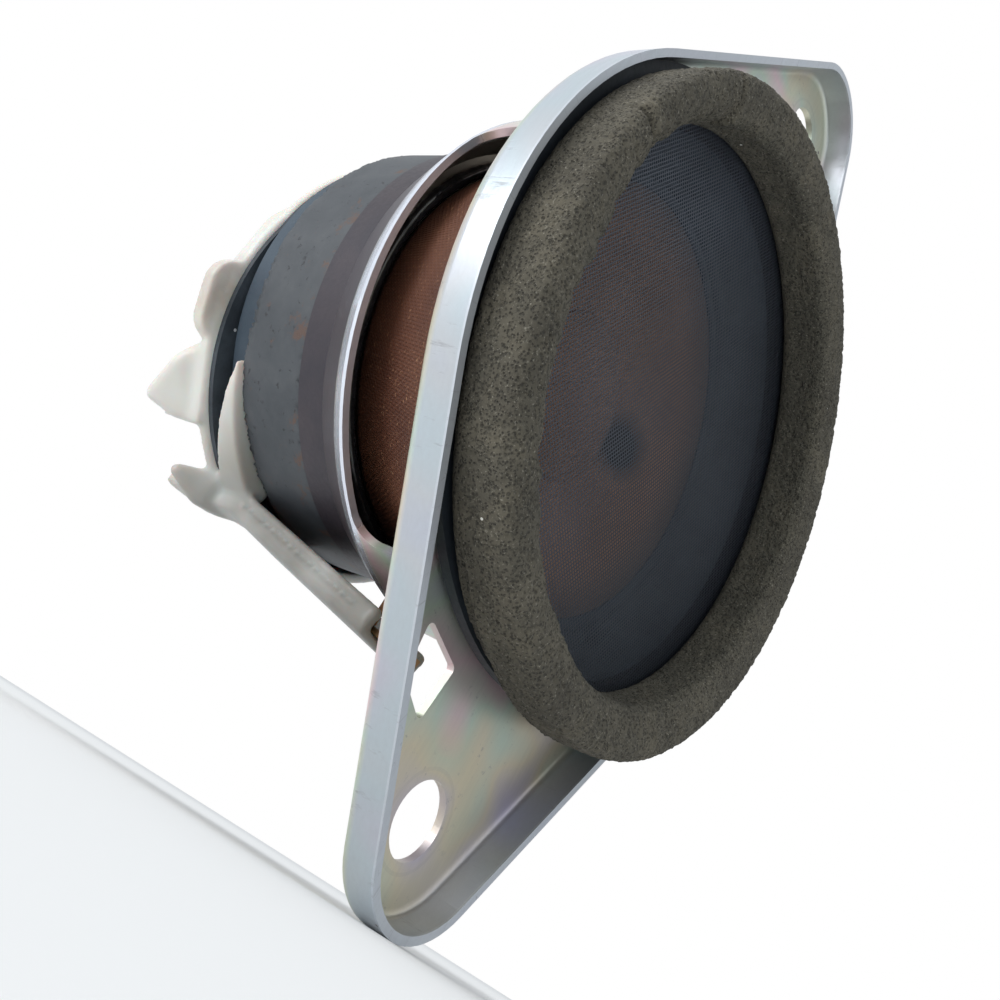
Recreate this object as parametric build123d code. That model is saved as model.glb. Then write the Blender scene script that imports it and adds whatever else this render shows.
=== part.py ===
"""Dash-mount cone tweeter for a car.  Millimetres, +Z up, the front faces -Y.

The origin is on the flange's rear face, on the speaker's axis and midway between its two mounting holes.
The holes lie on a vertical line, and depth behind the flange is measured along +Y.
"""
from build123d import *
from math import atan2, cos, degrees, hypot, pi, radians, sin
import os

# ---- mounting flange and basket: one pressed steel sheet
SHEET = 0.7
HOLE_PITCH = 82.0
HOLE_R = 3.1
FLANGE_R = 30.2            # outer radius of the round middle
FLANGE_X = -2.1            # the flange's round middle is this far to one side of the speaker's axis
EAR_R = 7.7                # outer radius round each mounting hole
LIP_FRONT = -3.8           # front edge of the turned-up lip
LIP_BEND = 1.3
MOUTH_R = 26.6             # inside of the basket where it meets the flange
WALL_REAR_R = 26.5         # outside of the basket at its rear bend
WALL_REAR_Y = 12.6
SEAT_R = 23.9              # outside of the flat rear seat
SEAT_Y = 17.6              # rear face of the seat, on the front plate
SEAT_HOLE_R = 10.5
WINDOW_Y = (1.9, 12.2)
WINDOW_ARC = 92.0
WINDOW_MIDDLES = (0.0, 114.0, -114.0)      # degrees from +Z towards +X
CUTOUT = ((-6.2, -35.7), (-5.6, -30.9), (-11.2, -29.6), (-10.4, -34.0))   # x, z corners in the floor

# ---- rings and screen on the front
GASKET_R = (25.7, 29.4)     # its hole is on the speaker's axis, its outside follows the flange
GASKET_FRONT = -2.25
FOAM_R = (25.9, 30.6)
FOAM_X = 0.4               # the foam was stuck on a little to one side
FOAM_FRONT = -8.2
SCREEN_R = 27.1
SCREEN_T = 0.2

# ---- moving parts
CONE_R = 21.4
CONE_Y = 4.2
NECK_R = 7.2
NECK_Y = 8.9
CONE_T = 0.4
FORMER_R = (7.0, 7.12)
FORMER_Y = (8.2, 21.2)
COIL_R = 7.45
COIL_Y = (17.9, 20.9)
CAP_R = 8.4
CAP_FRONT = 6.0
SURROUND_R = (25.8, 27.1)  # where its roll starts, and its outer edge
SURROUND_T = 0.25
GLUE = 0.02                # thickness of a glued joint
SPIDER_R = (7.3, 17.0, 19.0)
SPIDER_T = 0.25
SPIDER_Y = 12.8
LEAD_X = 2.0

# ---- motor
PLATE_R = 23.5
PLATE_Y = (SEAT_Y, 21.2)
GAP_R = 7.75
MAGNET_R = (11.0, 23.2)
MAGNET_Y = (21.2, 29.6)
YOKE_R = 22.0
YOKE_REAR = 33.4
POLE_R = 6.75
POLE_FRONT = 17.4
RIVET_COUNT = 4
RIVET_R = 1.2
RIVET_RING_R = 13.6

# ---- cloth band behind the windows
BAND_FRONT = (25.9, 3.0)
BAND_REAR = (21.2, 16.4)
BAND_T = 0.3

# ---- rear housing, moulded in one piece
SEAL_T = 0.6               # insulating washer between the yoke and the housing
CAP_Y = (YOKE_REAR + SEAL_T, 35.2)
DROP = 3.0                 # the housing's lower lobe is centred this far below the axis
LOBE_R = 22.0
SKIRT_FRONT = 29.8
SKIRT_T = 1.1
DOME_AT = (-4.5, 2.5)
DOME_R = 12.3
DOME_REAR = 44.0
DOME_T = 1.2
ARM_X = -3.0
ARM_W = 9.0
ARM_L = 27.0
ARM_H = 2.6
ARM_SLOPE = 15.0
ARM_Z = -23.4              # middle of the arm's root
ARM_T = 1.2
STRIP = (1.8, 0.5)         # width and thickness of a terminal strip
STRIP_X = 1.8              # each side of the arm's middle


def disc(radius, front, rear, x=0.0, z=0.0):
    """A round slab about a line along Y."""
    return Pos(x, (front + rear) / 2, z) * Rot(90, 0, 0) * Cylinder(radius, rear - front)


def ring(inner, outer, front, rear):
    return disc(outer, front, rear) - disc(inner, front - 1, rear + 1)


def turned(points, arc=360.0, start=90.0):
    """Turn a closed outline of (radius, y) points about the Y axis, from start degrees."""
    outline = make_face(Polyline(*points, close=True))
    return Rot(0, start - 90, 0) * revolve(outline, Axis.Y, arc)


def offset_line(line, distance):
    """Move a line of (radius, y) points sideways by a distance."""
    moved = []
    for i, (radius, y) in enumerate(line):
        before = line[max(i - 1, 0)]
        after = line[min(i + 1, len(line) - 1)]
        run, rise = after[0] - before[0], after[1] - before[1]
        if radius == 0:
            rise = 0
        size = hypot(run, rise)
        moved.append((radius - distance * rise / size, y + distance * run / size))
    return moved


def turned_sheet(line, thickness):
    """A thin sheet turned about Y, whose middle follows a line of (radius, y) points."""
    front = offset_line(line, -thickness / 2)
    rear = offset_line(line, thickness / 2)
    edges = [Spline(*front), Line(front[-1], rear[-1]), Spline(*rear[::-1]), Line(rear[0], front[0])]
    return revolve(make_face(edges), Axis.Y)


def round_the_axis(radius, degrees_from_top):
    angle = radians(degrees_from_top)
    return radius * sin(angle), radius * cos(angle)


def flange_outline(middle, ear, thickness, rear):
    """Two ears and a round middle, joined by tangent lines, from y = rear forwards."""
    with BuildPart() as part:
        with BuildSketch(Plane.XZ.offset(-rear)):
            with Locations((FLANGE_X, 0)):
                Circle(middle)
            with Locations((0, HOLE_PITCH / 2), (0, -HOLE_PITCH / 2)):
                Circle(ear)
            make_hull()
        extrude(amount=thickness)
    return part.part


def edges_at(solid, y):
    """The edges that lie wholly in the plane at one depth."""
    return [e for e in solid.edges()
            if abs(e.bounding_box().min.Y - y) < 1e-4 and abs(e.bounding_box().max.Y - y) < 1e-4]


def make_basket():
    tray = flange_outline(FLANGE_R, EAR_R, -LIP_FRONT, 0.0)
    tray = fillet(edges_at(tray, 0.0), LIP_BEND)
    dish = flange_outline(FLANGE_R - SHEET, EAR_R - SHEET, -LIP_FRONT + 1, -SHEET)
    dish = fillet(edges_at(dish, -SHEET), LIP_BEND - SHEET)
    mouth_out = MOUTH_R + SHEET
    cup = turned([
        (MOUTH_R, -SHEET), (mouth_out + 0.7, -SHEET), (mouth_out, 0.5), (WALL_REAR_R, WALL_REAR_Y),
        (WALL_REAR_R - 0.5, WALL_REAR_Y + 1.0), (SEAT_R, SEAT_Y), (SEAT_HOLE_R, SEAT_Y),
        (SEAT_HOLE_R, SEAT_Y - SHEET), (SEAT_R - 0.6, SEAT_Y - SHEET),
        (WALL_REAR_R - SHEET - 0.3, WALL_REAR_Y + 0.4), (WALL_REAR_R - SHEET, WALL_REAR_Y - 0.3)])
    basket = tray - dish - disc(MOUTH_R, -5, 5) + cup
    window = [(MOUTH_R - 5, WINDOW_Y[0]), (MOUTH_R + 5, WINDOW_Y[0]),
              (MOUTH_R + 5, WINDOW_Y[1]), (MOUTH_R - 5, WINDOW_Y[1])]
    for middle in WINDOW_MIDDLES:
        cutter = turned(window, WINDOW_ARC, middle - WINDOW_ARC / 2)
        corners = [e for e in cutter.edges().filter_by(GeomType.LINE)
                   if abs(e.bounding_box().min.Y - e.bounding_box().max.Y) < 1e-4]
        basket -= fillet(corners, 2.5)
    for side in (1, -1):
        basket -= disc(HOLE_R, -5, 1, z=side * HOLE_PITCH / 2)
        basket -= Pos(ARM_X + side * LEAD_X, 9.5, -26) * Cylinder(1.0, 6)
    cutout = extrude(make_face(Polyline(*[(x, -3.0, z) for x, z in CUTOUT], close=True)), amount=6.0,
                     dir=(0, 1, 0))
    basket -= fillet(cutout.edges().filter_by(Axis.Y), 0.5)
    for index in range(RIVET_COUNT):
        x, z = round_the_axis(RIVET_RING_R, 45 + 360 / RIVET_COUNT * index)
        basket -= disc(RIVET_R, SEAT_Y - 3, SEAT_Y + 1, x, z)
    return basket


def make_gasket_ring():
    inner, outer = GASKET_R
    step = SURROUND_R[1] + 0.05
    back = -SHEET - SURROUND_T - 2 * GLUE
    body = disc(outer, GASKET_FRONT, -SHEET, x=FLANGE_X)
    body = chamfer(edges_at(body, -SHEET), LIP_BEND - SHEET)
    return body - disc(inner, GASKET_FRONT - 1, 0) - disc(step, back, 0)


def make_foam_gasket():
    """The foam ring, stuck over the screen and gasket, and squashed over the lip where it reaches past it."""
    inner, outer = FOAM_R
    screen_front = GASKET_FRONT - SCREEN_T
    body = disc(outer, FOAM_FRONT, GASKET_FRONT, x=FOAM_X) - disc(inner, FOAM_FRONT - 1, 0)
    body -= disc(SCREEN_R + 0.05, screen_front, 0)
    body = fillet(edges_at(body, FOAM_FRONT), 0.9)
    tray = flange_outline(FLANGE_R - SHEET - 0.05, EAR_R - SHEET, 10, 5)
    beyond = Pos(0, 5 + LIP_FRONT - 0.05, 0) * Box(120, 10, 120) - tray
    return body - beyond


def corrugated(start, end, waves, height, points=33):
    """A straight fall from start to end, with gentle corrugations that never turn back."""
    line = []
    for i in range(points):
        t = i / (points - 1)
        radius = start[0] + (end[0] - start[0]) * t
        y = start[1] + (end[1] - start[1]) * t + height * sin(2 * pi * waves * t)
        line.append((radius, y))
    return line


def make_surround():
    seat = -SHEET - GLUE - SURROUND_T / 2
    lip_y = CONE_Y - CONE_T / 2 - GLUE - SURROUND_T / 2
    fall, edge = SURROUND_R
    line = [(edge - (edge - fall - 0.3) * i / 3, seat) for i in range(4)]
    line += corrugated((fall, seat + 0.03), (CONE_R + 1.0, lip_y - 0.03), 3, 0.15)
    line += [(CONE_R + 0.7 - 0.3 * i, lip_y) for i in range(4)]
    return turned_sheet(line[::-1], SURROUND_T)


def cone_line(points=9):
    line = []
    for i in range(points):
        t = i / (points - 1)
        radius = NECK_R + (CONE_R - NECK_R) * t
        line.append((radius, CONE_Y + (NECK_Y - CONE_Y) * (1 - t) ** 1.1))
    return line


def make_cone():
    return turned_sheet(cone_line() + [(CONE_R + 0.5, CONE_Y), (CONE_R + 1.0, CONE_Y)], CONE_T)


def make_dust_cap():
    rim_y = CONE_Y + (NECK_Y - CONE_Y) * ((CONE_R - CAP_R) / (CONE_R - NECK_R)) ** 1.1 - 0.42
    line = [(CAP_R * t / 6, CAP_FRONT + (rim_y - CAP_FRONT) * (t / 6) ** 2) for t in range(7)]
    return turned_sheet([(0.0, CAP_FRONT)] + line[1:], 0.3)


def make_spider():
    inner, foot, outer = SPIDER_R
    foot_y = SEAT_Y - SHEET - GLUE - SPIDER_T / 2
    line = [(inner, SPIDER_Y)]
    line += corrugated((inner + 0.8, SPIDER_Y), (foot - 0.4, foot_y - 0.1), 4, 0.12)
    line += [(foot + (outer - foot) * i / 5, foot_y) for i in range(6)]
    return turned_sheet(line, SPIDER_T)


def make_window_cloth():
    line = [BAND_FRONT, BAND_REAR]
    band = turned([offset_line(line, -BAND_T / 2)[0], offset_line(line, -BAND_T / 2)[1],
                   offset_line(line, BAND_T / 2)[1], offset_line(line, BAND_T / 2)[0]])
    for side in (1, -1):
        band -= Pos(ARM_X + side * LEAD_X, 9.5, -24) * Cylinder(1.0, 6)
    return band


def make_cloth_bead():
    """The bead of adhesive that seals the cloth band to the seat."""
    seat = SEAT_Y - SHEET
    radius = BAND_REAR[0] + 0.25
    return turned([(radius, seat), (radius + 1.2, seat), (radius + 1.1, seat - 0.5),
                   (radius + 0.75, seat - 1.0), (radius + 0.5, seat - 1.3)])


def make_top_plate():
    plate = ring(GAP_R, PLATE_R, *PLATE_Y)
    for index in range(RIVET_COUNT):
        x, z = round_the_axis(RIVET_RING_R, 45 + 360 / RIVET_COUNT * index)
        plate -= disc(RIVET_R, PLATE_Y[0] - 1, PLATE_Y[0] + 1.6, x, z)
    return plate


def make_plate_rivets():
    seat = SEAT_Y - SHEET
    studs = []
    for index in range(RIVET_COUNT):
        x, z = round_the_axis(RIVET_RING_R, 45 + 360 / RIVET_COUNT * index)
        studs.append(disc(RIVET_R, seat, PLATE_Y[0] + 1.6, x, z) + disc(RIVET_R + 0.7, seat - 0.5, seat, x, z))
    return Compound(children=studs)


def make_yoke():
    yoke = turned([(0, POLE_FRONT), (POLE_R, POLE_FRONT), (POLE_R, MAGNET_Y[1]), (YOKE_R, MAGNET_Y[1]),
                   (YOKE_R, YOKE_REAR - 0.8), (YOKE_R - 0.8, YOKE_REAR), (0, YOKE_REAR)])
    return yoke


def arm_plane():
    """A plane across the arm at its root: X across, Y towards the motor, Z along the arm to its front."""
    slope = radians(ARM_SLOPE)
    return Plane(origin=(ARM_X, CAP_Y[0], ARM_Z), x_dir=(1, 0, 0), z_dir=(0, -cos(slope), -sin(slope)))


def along_arm(x, y, z, size):
    """A box placed in the arm's own frame by its middle in x and y and its start in z."""
    return arm_plane().location * Pos(x, y, z + size[2] / 2) * Box(*size)


def make_arm():
    arm = along_arm(0, 0, 0, (ARM_W, ARM_H, ARM_L))
    long_edges = [e for e in arm.edges() if e.length > ARM_L - 1]
    bottom = sorted(long_edges, key=lambda e: e.center().Z)[:2]
    arm = fillet(bottom, 1.1)
    for side in (1, -1):
        arm -= along_arm(side * ARM_W / 2, 0.3, 3.0, (1.0, 0.6, ARM_L - 5.0))
    return arm


def make_eyelet():
    """The flat tab with a slot that holds the lead at the side of the housing."""
    with BuildPart() as tab:
        with BuildSketch(Plane.XZ):
            SlotOverall(8.4, 5.4, rotation=90)
            SlotOverall(4.6, 1.8, rotation=90, mode=Mode.SUBTRACT)
        extrude(amount=2.2)
    x, z = round_the_axis(22.4, -117)
    return Pos(x, CAP_Y[1] + 1.2, z) * Rot(0, -27, 0) * tab.part


def make_horn():
    """The tall curved finger that keeps the lead against the housing."""
    edge = Spline((0.0, -1.0), (1.8, 1.8), (4.4, 4.6), (7.2, 9.4))
    outline = make_face([edge, Line((7.2, 9.4), (8.0, 9.0)), Line((8.0, 9.0), (8.2, -1.0)),
                         Line((8.2, -1.0), (0.0, -1.0))])
    low = Vector(-14.6, CAP_Y[1], -20.3)
    high = Vector(-19.2, CAP_Y[1], -14.4)
    frame = Plane(origin=high, x_dir=(low - high).normalized(), z_dir=(low - high).normalized().cross(Vector(0, 1, 0)))
    return frame.location * extrude(outline, amount=1.5)


def make_hook():
    """The low hook beside the arm's root."""
    outline = make_face(Polyline((-9.2, 34.2), (-9.6, 39.2), (-8.8, 39.5), (-5.0, 37.8), (-1.0, 35.8),
                                 (2.0, 34.2), close=True))
    return Pos(0, 0, -25.4) * extrude(outline, amount=1.3)


def seal_shape(spare=0.0):
    """The washer's outline, with the housing's lower lobe, between the yoke and the housing."""
    return (disc(21.4 + spare, YOKE_REAR, CAP_Y[0])
            + disc(LOBE_R - 0.5 + spare, YOKE_REAR, CAP_Y[0], z=-DROP))


def make_housing_seal():
    """An insulating washer that keeps the terminal strips off the yoke, notched where they pass."""
    notch = Pos(ARM_X, CAP_Y[0], ARM_Z - 0.9) * Box(ARM_W - 2 * ARM_T + 0.2, 3.0, 3.0)
    return seal_shape() - notch


def make_rear_housing():
    lobe = disc(LOBE_R, *CAP_Y, z=-DROP)
    cap = disc(21.7, *CAP_Y) + lobe
    skirt_outline = [(LOBE_R - SKIRT_T, SKIRT_FRONT), (LOBE_R, SKIRT_FRONT),
                     (LOBE_R, CAP_Y[0] + 0.5), (LOBE_R - SKIRT_T, CAP_Y[0] + 0.5)]
    skirt = Pos(0, 0, -DROP) * turned(skirt_outline, 80, 122)
    tongue_outline = [(LOBE_R - SKIRT_T, SKIRT_FRONT), (LOBE_R, SKIRT_FRONT),
                      (LOBE_R, SKIRT_FRONT + 1.9), (LOBE_R - SKIRT_T, SKIRT_FRONT + 1.9)]
    tongue = Pos(0, 0, -DROP) * turned(tongue_outline, 27, 202)
    tip_x, tip_z = round_the_axis(LOBE_R, 229)
    root_x, root_z = round_the_axis(LOBE_R, 203)
    lean = degrees(atan2(1.9, hypot(tip_x - root_x, tip_z - root_z)))
    along = degrees(atan2(tip_z - root_z, tip_x - root_x))
    taper = Pos(tip_x, SKIRT_FRONT, tip_z - DROP) * Rot(0, -along, 0) * Rot(0, 0, -lean)
    tongue -= taper * Pos(0, 10, 0) * Box(60, 20, 12)
    root = Pos(ARM_X, (SKIRT_FRONT + CAP_Y[1]) / 2, -24.1) * Box(ARM_W, CAP_Y[1] - SKIRT_FRONT, 2.4)
    dome = disc(DOME_R, CAP_Y[0], DOME_REAR, *DOME_AT)
    dome = fillet(edges_at(dome, DOME_REAR), 3.0)
    hollow = disc(DOME_R - DOME_T, CAP_Y[0] - 1, DOME_REAR - DOME_T, *DOME_AT)
    hollow = fillet(edges_at(hollow, DOME_REAR - DOME_T), 2.0)
    housing = cap + skirt + tongue + root + dome + make_arm() + make_eyelet() + make_horn() + make_hook()
    housing -= hollow
    housing -= along_arm(0, 1.1, -0.6, (ARM_W - 2 * ARM_T, ARM_H + 0.6, ARM_L + 1))
    for side in (1, -1):
        x = ARM_X + side * STRIP_X
        housing -= Pos(x, CAP_Y[0] + 0.2, -15.4) * Box(STRIP[0] + 0.2, 1.2, 18.0)
    housing -= disc(YOKE_R + 0.05, SKIRT_FRONT - 1, YOKE_REAR) + seal_shape(0.05)
    housing -= disc(MAGNET_R[1] + 0.05, SKIRT_FRONT - 30, SKIRT_FRONT)
    return housing


def make_terminal(side):
    """A brass strip along the arm, turned up behind the motor into the dome, with a tip to solder to."""
    x = side * STRIP_X
    width, thick = STRIP
    strip = along_arm(x, -0.2, -0.3, (width, thick, ARM_L + 1.3))
    tip = along_arm(x, 0.1, ARM_L + 0.5, (width, thick + 0.6, 0.5))
    riser = Pos(ARM_X + x, CAP_Y[0] + 0.4, -15.2) * Box(width, thick, 17.6)
    return strip + tip + riser


def make_capacitor():
    body = Pos(DOME_AT[0], 39.2, DOME_AT[1]) * Rot(0, 90, 0) * Cylinder(3.6, 12.0)
    return fillet(body.edges().filter_by(GeomType.CIRCLE), 0.5)


def make_capacitor_leads():
    """A wire from each end of the capacitor down to its riser."""
    wires = []
    for side in (1, -1):
        end_x = DOME_AT[0] + side * 6.0
        riser_x = ARM_X + side * STRIP_X
        route = FilletPolyline((end_x, 39.2, DOME_AT[1]), (end_x + side * 1.6, 39.2, DOME_AT[1]),
                               (end_x + side * 1.6, 36.6, -3.0), (riser_x, 35.3, -5.4),
                               (riser_x, CAP_Y[0] + 0.98, -7.4), radius=0.7)
        start = Plane(origin=route @ 0, z_dir=route % 0)
        wires.append(sweep(start * Circle(0.3), path=route))
    return Compound(children=wires)


def make_tinsel_leads():
    """The two braided leads from the cone to the terminals, each with a little slack."""
    leads = []
    for side in (1, -1):
        x = ARM_X + side * LEAD_X
        route = FilletPolyline((x, 8.6, -12.6), (x, 9.9, -15.5), (x, 10.4, -19.5), (x, 9.5, -23.0),
                               (x, 9.5, -29.85), radius=1.8)
        start = Plane(origin=route @ 0, z_dir=route % 0)
        leads.append(sweep(start * Circle(0.3), path=route))
    return Compound(children=leads)


def make_lead_eyelets():
    dots = []
    for side in (1, -1):
        x = ARM_X + side * LEAD_X
        dots.append(Pos(x, 8.05, -12.2) * Rot(90, 0, 0) * Cylinder(0.8, 0.5))
    return Compound(children=dots)


PARTS = {
    "basket": make_basket,
    "gasket_ring": make_gasket_ring,
    "foam_gasket": make_foam_gasket,
    "dust_screen": lambda: disc(SCREEN_R, GASKET_FRONT - SCREEN_T, GASKET_FRONT),
    "window_cloth": make_window_cloth,
    "cloth_bead": make_cloth_bead,
    "surround": make_surround,
    "cone": make_cone,
    "dust_cap": make_dust_cap,
    "voice_coil_former": lambda: ring(*FORMER_R, *FORMER_Y),
    "voice_coil": lambda: ring(FORMER_R[1], COIL_R, *COIL_Y),
    "spider": make_spider,
    "lead_eyelets": make_lead_eyelets,
    "tinsel_leads": make_tinsel_leads,
    "top_plate": make_top_plate,
    "plate_rivets": make_plate_rivets,
    "ferrite_magnet": lambda: ring(*MAGNET_R, *MAGNET_Y),
    "yoke": make_yoke,
    "housing_seal": make_housing_seal,
    "rear_housing": make_rear_housing,
    "terminal_positive": lambda: make_terminal(1),
    "terminal_negative": lambda: make_terminal(-1),
    "capacitor": make_capacitor,
    "capacitor_leads": make_capacitor_leads,
}

os.makedirs("parts", exist_ok=True)
for name, make in PARTS.items():
    export_step(make(), "parts/" + name + ".step")
    print("wrote", name)
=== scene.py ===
# %% [markdown]
# # A small cone tweeter, finished in Blender
# The object is a dash-mount car tweeter: a pressed, zinc-plated steel basket with two ears, a foam gasket, a
# woven screen over a cloth cone, a ferrite ring magnet and a white moulded rear housing.  The CAD frame gives
# every place and size.  This lesson keeps the steel parts, and models again what CAD leaves plain: foam with
# pores, woven cloth, glue that ran, a chipped magnet, and a moulding with soft edges.

# %% Load the frame
from math import atan2, ceil, cos, hypot, pi, radians, sin
import bmesh
import bpy
from mathutils import Matrix, Vector, noise


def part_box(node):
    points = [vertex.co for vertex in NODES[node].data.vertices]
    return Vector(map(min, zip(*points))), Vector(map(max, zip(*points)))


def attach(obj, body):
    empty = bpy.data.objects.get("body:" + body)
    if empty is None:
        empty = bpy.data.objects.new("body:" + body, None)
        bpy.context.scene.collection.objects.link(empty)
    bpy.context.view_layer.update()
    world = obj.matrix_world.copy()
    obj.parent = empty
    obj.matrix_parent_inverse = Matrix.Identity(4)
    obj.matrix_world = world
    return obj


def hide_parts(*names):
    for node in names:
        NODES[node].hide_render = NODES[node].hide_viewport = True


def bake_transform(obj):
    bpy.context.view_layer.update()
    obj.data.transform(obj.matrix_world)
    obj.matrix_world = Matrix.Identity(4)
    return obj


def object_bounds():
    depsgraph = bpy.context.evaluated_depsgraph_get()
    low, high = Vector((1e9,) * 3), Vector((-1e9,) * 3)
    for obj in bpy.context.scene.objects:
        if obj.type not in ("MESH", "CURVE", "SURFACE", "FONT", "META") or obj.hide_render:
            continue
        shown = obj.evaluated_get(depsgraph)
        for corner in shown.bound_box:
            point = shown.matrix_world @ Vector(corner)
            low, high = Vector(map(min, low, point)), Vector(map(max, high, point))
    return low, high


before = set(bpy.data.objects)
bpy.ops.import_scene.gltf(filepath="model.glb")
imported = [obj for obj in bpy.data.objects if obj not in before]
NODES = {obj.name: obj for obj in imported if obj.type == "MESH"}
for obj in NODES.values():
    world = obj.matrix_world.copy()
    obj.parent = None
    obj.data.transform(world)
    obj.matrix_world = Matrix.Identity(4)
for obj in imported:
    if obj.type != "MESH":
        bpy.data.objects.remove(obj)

cad_low, cad_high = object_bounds()
MM = 0.001
print("CAD box in mm:", [round(v / MM, 1) for v in (*cad_low, *cad_high)])

# %% [markdown]
# ## Camera, light and floor
# The tweeter is seen from close by, in front of it, low and to its left, so the magnet shows behind the
# flange.  A camera that near gives strong perspective: the near side of a ring looks much wider than the far
# side.  The camera is set from where it stands, what it looks towards, and which way is up in its picture.

# %% Camera
EYE = Vector((-67.226, -46.833, -47.698)) * MM
LOOK = Vector((0.6662, 0.5876, 0.4593)).normalized()
UP = Vector((-0.6451, 0.1450, 0.7502))
across = LOOK.cross(UP).normalized()
upright = across.cross(LOOK)
camera_data = bpy.data.cameras.new("camera")
camera_data.lens = 35.9
camera_data.sensor_width = 36.0
camera_data.shift_x, camera_data.shift_y = -0.03, -0.10
camera_data.clip_start, camera_data.clip_end = 0.002, 20.0
camera = bpy.data.objects.new("camera", camera_data)
turn = Matrix((across, upright, -LOOK)).transposed().to_4x4()
camera.matrix_world = Matrix.Translation(EYE) @ turn
bpy.context.scene.collection.objects.link(camera)
bpy.context.scene.camera = camera
bpy.context.scene.view_settings.view_transform = "Standard"
print("the camera stands", round(EYE.length / MM), "mm from the flange's middle")

# %% [markdown]
# Steel shows whatever stands round it.  In an even white room it would look flat, so this room is bright
# above and dimmer below, "above" being up in the camera's picture, and slightly blue like a window.  The
# camera itself sees plain white behind the object: Light Path tells its rays from the others.

# %% Room
world = bpy.data.worlds.new("pale room")
world.use_nodes = True
room = world.node_tree
room.nodes.clear()
direction = room.nodes.new("ShaderNodeTexCoord")
height = room.nodes.new("ShaderNodeVectorMath")
height.operation = "DOT_PRODUCT"
height.inputs[1].default_value = (upright - across * 0.15 - LOOK * 0.2).normalized()
shades = room.nodes.new("ShaderNodeMapRange")
shades.inputs["From Min"].default_value, shades.inputs["From Max"].default_value = -1.0, 1.0
shades.inputs["To Min"].default_value, shades.inputs["To Max"].default_value = 0.32, 1.0
light_room = room.nodes.new("ShaderNodeBackground")
light_room.inputs["Color"].default_value = (0.93, 0.97, 1.0, 1.0)
seen_room = room.nodes.new("ShaderNodeBackground")
seen_room.inputs["Color"].default_value = (1.0, 1.0, 1.0, 1.0)
rays = room.nodes.new("ShaderNodeLightPath")
choice = room.nodes.new("ShaderNodeMixShader")
room_out = room.nodes.new("ShaderNodeOutputWorld")
room.links.new(direction.outputs["Generated"], height.inputs[0])
room.links.new(height.outputs["Value"], shades.inputs["Value"])
room.links.new(shades.outputs["Result"], light_room.inputs["Strength"])
room.links.new(rays.outputs["Is Camera Ray"], choice.inputs["Fac"])
room.links.new(light_room.outputs[0], choice.inputs[1])
room.links.new(seen_room.outputs[0], choice.inputs[2])
room.links.new(choice.outputs[0], room_out.inputs["Surface"])
bpy.context.scene.world = world


# %% Lamps and floor
def add_lamp(name, direction, distance, size, power):
    """A square soft lamp, in the given direction from the object, turned towards it."""
    data = bpy.data.lights.new(name, "AREA")
    data.size = size
    data.energy = power
    lamp = bpy.data.objects.new(name, data)
    lamp.matrix_world = direction.to_track_quat("Z", "Y").to_matrix().to_4x4()
    lamp.matrix_world.translation = direction.normalized() * distance
    bpy.context.scene.collection.objects.link(lamp)


add_lamp("key", upright - across * 0.8 - LOOK * 0.5, 0.55, 0.25, 1.3)
add_lamp("top", upright * 1.2 + across * 0.3 + LOOK * 0.3, 0.60, 0.30, 0.8)

floor_mesh = bmesh.new()
bmesh.ops.create_grid(floor_mesh, x_segments=1, y_segments=1, size=1.5)
bmesh.ops.translate(floor_mesh, verts=floor_mesh.verts, vec=(0, 0, cad_low.z))
floor_data = bpy.data.meshes.new("floor")
floor_mesh.to_mesh(floor_data)
floor_mesh.free()
floor = bpy.data.objects.new("floor", floor_data)
bpy.context.scene.collection.objects.link(floor)

# %% [markdown]
# ## Helpers for materials
# Each finish is a small node tree.  `Tree` wraps a node tree so that a node, its settings and its links are
# one line.  `shared_group` builds an effect that several finishes use, with named inputs and outputs.

# %% Node helpers


class Tree:
    """A thin wrapper that adds nodes to a tree and links them."""

    def __init__(self, tree):
        self.tree = tree

    def add(self, kind, links=None, **settings):
        node = self.tree.nodes.new(kind)
        for key, value in settings.items():
            setattr(node, key, value)
        for socket, source in (links or {}).items():
            self.feed(node, socket, source)
        return node

    def feed(self, node, socket, source):
        """Set an input to a number or colour, or link it to another node's output."""
        if hasattr(source, "is_output"):
            self.tree.links.new(source, node.inputs[socket])
        else:
            node.inputs[socket].default_value = source

    def math(self, operation, first, second=0.0, third=0.0, clamp=False):
        node = self.add("ShaderNodeMath", {0: first, 1: second, 2: third}, operation=operation)
        node.use_clamp = clamp
        return node.outputs[0]

    def blend(self, factor, first, second):
        """A mix of two colours."""
        node = self.add("ShaderNodeMix", data_type="RGBA")
        self.feed(node, 0, factor)
        self.feed(node, 6, first)
        self.feed(node, 7, second)
        return node.outputs[2]

    def noise(self, where, scale, detail=3.0, roughness=0.55):
        links = {"Vector": where, "Scale": scale, "Detail": detail, "Roughness": roughness}
        return self.add("ShaderNodeTexNoise", links).outputs["Fac"]

    def ramp(self, value, stops):
        """A colour ramp from a list of (place, colour)."""
        node = self.add("ShaderNodeValToRGB", {"Fac": value})
        elements = node.color_ramp.elements
        elements[0].position, elements[0].color = stops[0][0], (*stops[0][1], 1.0)
        elements[1].position, elements[1].color = stops[-1][0], (*stops[-1][1], 1.0)
        for place, colour in stops[1:-1]:
            elements.new(place).color = (*colour, 1.0)
        return node.outputs["Color"]

    def level(self, value, low, high):
        """Stretch a value so that low becomes 0 and high becomes 1, held there outside them."""
        node = self.add("ShaderNodeMapRange", {"Value": value, "From Min": low, "From Max": high})
        return node.outputs["Result"]


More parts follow.
